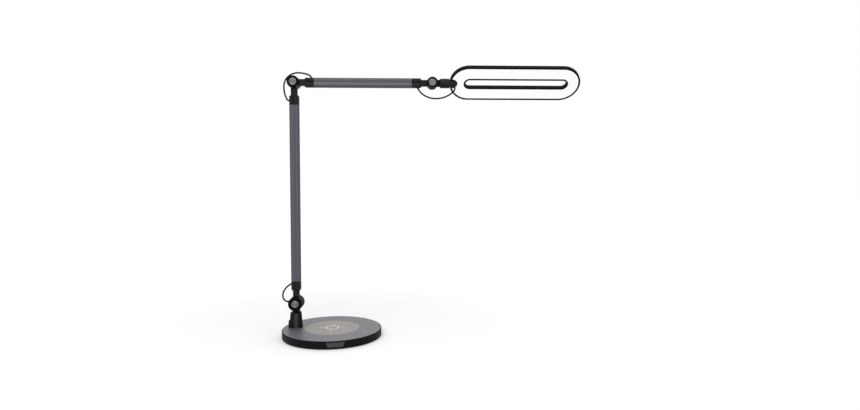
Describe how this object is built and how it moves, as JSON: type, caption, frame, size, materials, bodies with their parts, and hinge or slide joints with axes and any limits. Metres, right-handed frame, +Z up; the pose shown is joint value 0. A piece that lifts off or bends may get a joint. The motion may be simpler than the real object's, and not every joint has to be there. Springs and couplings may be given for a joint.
{
  "type": "swing arm desk lamp",
  "caption": "Swing arm desk lamp: a round weighted base with a charging pad, a jointed post and arm of fluted tube, and a slotted long oval light head.",
  "frame": {"origin": "centre of the base's mat where it meets the table", "axes": "+Z up, +X along the upper arm towards the light head, -Y towards the user's side that the joint caps face"},
  "size_m": [0.6176, 0.203, 0.5541],
  "materials": {
    "mat_rubber": "matte",
    "plate_steel": "satin",
    "screw_steel": "satin",
    "base_black": "satin",
    "cover_grey": "radially brushed",
    "pad_beige": "satin",
    "coil_copper": "satin",
    "ferrite_black": "matte",
    "board_green": "satin",
    "chip_black": "matte",
    "panel_gloss": "gloss",
    "joint_black": "satin",
    "bolt_bright": "turned",
    "knob_satin": "satin",
    "tube_grey": "anodised",
    "wire_black": "matte",
    "head_black": "satin",
    "diffuser_opal": "opal satin",
    "led_board_metal": "white lacquer",
    "led_yellow": "gloss"
  },
  "bodies": {
    "base": {"rubber_mat": "mat_rubber", "base_plate": "plate_steel", "base_screws": "screw_steel", "ballast_plate": "plate_steel", "base_housing": "base_black", "top_cover": "cover_grey", "charging_pad": "pad_beige", "charging_coil": "coil_copper", "ferrite_sheet": "ferrite_black", "main_board": "board_green", "board_parts": "chip_black", "control_panel": "panel_gloss", "control_board": "board_green", "foot_pillar": "joint_black", "pillar_screws": "screw_steel", "power_inlet": "base_black", "inlet_pin": "screw_steel"},
    "turret": {"swivel_stem": "screw_steel", "stem_clip": "screw_steel", "lower_fork": "joint_black", "lower_bolt": "bolt_bright", "lower_cap": "joint_black", "lower_washers": "screw_steel", "fork_grommet": "wire_black", "lower_jumper": "wire_black"},
    "knob_lower": {"lower_knob": "knob_satin"},
    "post": {"post_lower_end": "joint_black", "post_tube": "tube_grey", "post_upper_end": "joint_black", "post_screws": "screw_steel", "post_grommets": "wire_black", "elbow_jumper": "wire_black"},
    "arm": {"arm_fork_end": "joint_black", "arm_tube": "tube_grey", "arm_eye_end": "joint_black", "arm_screws": "screw_steel", "arm_grommets": "wire_black", "elbow_bolt": "bolt_bright", "elbow_cap": "joint_black", "elbow_washers": "screw_steel"},
    "knob_elbow": {"elbow_knob": "knob_satin"},
    "head_link": {"head_fork": "joint_black", "roll_barrel": "joint_black", "head_bolt": "bolt_bright", "head_cap": "joint_black", "head_washers": "screw_steel", "head_jumper": "wire_black"},
    "knob_head": {"head_knob": "knob_satin"},
    "head": {"head_hub": "joint_black", "hub_grommet": "wire_black", "roll_spindle": "screw_steel", "spindle_nut": "screw_steel", "spindle_bracket": "screw_steel", "bracket_screws": "screw_steel", "head_housing": "head_black", "diffuser": "diffuser_opal", "led_board": "led_board_metal", "leds": "led_yellow"}
  },
  "joints": [
    {"name": "base_swivel", "type": "hinge", "parent": "base", "child": "turret", "pos_m": [-0.0745, 0.008, 0.048], "axis": [0, 0, 1], "range_deg": [-120, 120]},
    {"name": "lower_tilt", "type": "hinge", "parent": "turret", "child": "post", "pos_m": [-0.0745, 0.008, 0.068], "axis": [0, 1, 0], "range_deg": [-30, 45], "deforming": ["lower_jumper"]},
    {"name": "elbow", "type": "hinge", "parent": "post", "child": "arm", "pos_m": [-0.0745, 0.008, 0.5212], "axis": [0, -1, 0], "range_deg": [-35, 90], "deforming": ["elbow_jumper"]},
    {"name": "head_tilt", "type": "hinge", "parent": "arm", "child": "head_link", "pos_m": [0.2075, 0.008, 0.5212], "axis": [0, -1, 0], "range_deg": [-80, 80], "deforming": ["head_jumper"]},
    {"name": "head_roll", "type": "hinge", "parent": "head_link", "child": "head", "pos_m": [0.2433, 0.008, 0.5212], "axis": [1, 0, 0], "range_deg": [-90, 90]},
    {"name": "lower_knob_turn", "type": "hinge", "parent": "turret", "child": "knob_lower", "pos_m": [-0.0745, 0.0221, 0.068], "axis": [0, 1, 0], "continuous": true},
    {"name": "elbow_knob_turn", "type": "hinge", "parent": "arm", "child": "knob_elbow", "pos_m": [-0.0745, 0.0221, 0.5212], "axis": [0, 1, 0], "continuous": true},
    {"name": "head_knob_turn", "type": "hinge", "parent": "head_link", "child": "knob_head", "pos_m": [0.2075, 0.0221, 0.5212], "axis": [0, 1, 0], "continuous": true}
  ]
}
